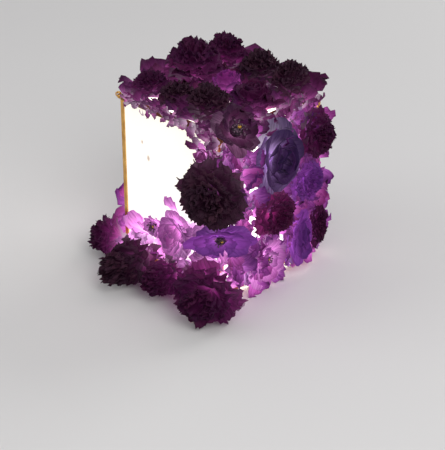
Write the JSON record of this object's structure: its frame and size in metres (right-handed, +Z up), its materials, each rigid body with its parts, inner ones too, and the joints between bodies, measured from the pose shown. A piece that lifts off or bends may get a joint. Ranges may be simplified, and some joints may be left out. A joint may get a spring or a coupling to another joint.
{
  "type": "flower covered box table lamp",
  "caption": "Small lit box lantern lamp with brass strips and frosted panels, covered with purple fabric flower heads, one wall left bare as a glowing window.",
  "frame": {"origin": "centre of the felt pad's underside, on the surface that the lamp stands on", "axes": "+Z up, -Y out of the bare lit window, +X out of the flower covered wall beside it"},
  "size_m": [0.193, 0.2175, 0.2062],
  "materials": {
    "black_felt": "matt pressed felt",
    "stained_board": "dark stained board, satin",
    "black_rubber": "matt",
    "plated_screws": "zinc plated",
    "gilt_brass": "warm polished strip with soft wear",
    "frosted_panel": "frosted acrylic, lit from behind",
    "holder_porcelain": "glazed white",
    "contact_brass": "plain brass",
    "cap_nickel": "nickel plated",
    "bulb_plastic": "white collar",
    "bulb_glass": "opal globe, lit warm white",
    "plum_petals": "woven petals, deep plum",
    "magenta_petals": "woven petals, magenta",
    "violet_petals": "woven petals, violet",
    "pink_petals": "woven petals, pale pink violet"
  },
  "bodies": {
    "root": {"back_bloom_foot_left": "plum_petals", "back_bloom_foot_right": "magenta_petals", "back_bloom_middle_left": "violet_petals", "back_bloom_middle_right": "magenta_petals", "back_bloom_upper_left": "plum_petals", "back_bloom_upper_right": "violet_petals", "back_panel": "frosted_panel", "base_board": "stained_board", "bottom_rim": "gilt_brass", "bulb_cap": "cap_nickel", "bulb_collar": "bulb_plastic", "bulb_globe": "bulb_glass", "cable_grommet": "black_rubber", "centre_contact": "contact_brass", "contact_block": "holder_porcelain", "corner_post_back": "gilt_brass", "corner_post_left": "gilt_brass", "corner_post_near": "gilt_brass", "corner_post_right": "gilt_brass", "felt_pad": "black_felt", "front_bloom_foot": "plum_petals", "front_bloom_low": "magenta_petals", "front_bloom_near_foot": "magenta_petals", "front_bloom_window": "violet_petals", "front_panel": "frosted_panel", "holder_body": "holder_porcelain", "holder_screws": "plated_screws", "left_bloom_foot": "plum_petals", "left_bloom_near_foot": "violet_petals", "left_bloom_upper": "magenta_petals", "left_corner_bloom": "plum_petals", "left_panel": "frosted_panel", "loose_petals": "magenta_petals", "near_corner_bloom": "magenta_petals", "near_edge_bloom_foot": "plum_petals", "near_edge_bloom_middle": "violet_petals", "near_edge_bloom_upper": "plum_petals", "right_bloom_far_foot": "plum_petals", "right_bloom_far_middle": "violet_petals", "right_bloom_far_upper": "magenta_petals", "right_bloom_foot": "violet_petals", "right_bloom_middle": "magenta_petals", "right_bloom_near_foot": "magenta_petals", "right_bloom_upper": "violet_petals", "right_panel": "frosted_panel", "rim_nuts": "plated_screws", "rim_screws": "plated_screws", "screw_sleeve": "contact_brass", "small_florets": "pink_petals", "top_bloom_back": "magenta_petals", "top_bloom_back_left": "magenta_petals", "top_bloom_back_right": "plum_petals", "top_bloom_crown": "magenta_petals", "top_bloom_left": "magenta_petals", "top_bloom_middle": "magenta_petals", "top_bloom_near": "plum_petals", "top_bloom_right": "magenta_petals", "top_bloom_window_edge": "plum_petals", "top_panel": "frosted_panel", "top_rim": "gilt_brass"}
  },
  "joints": []
}
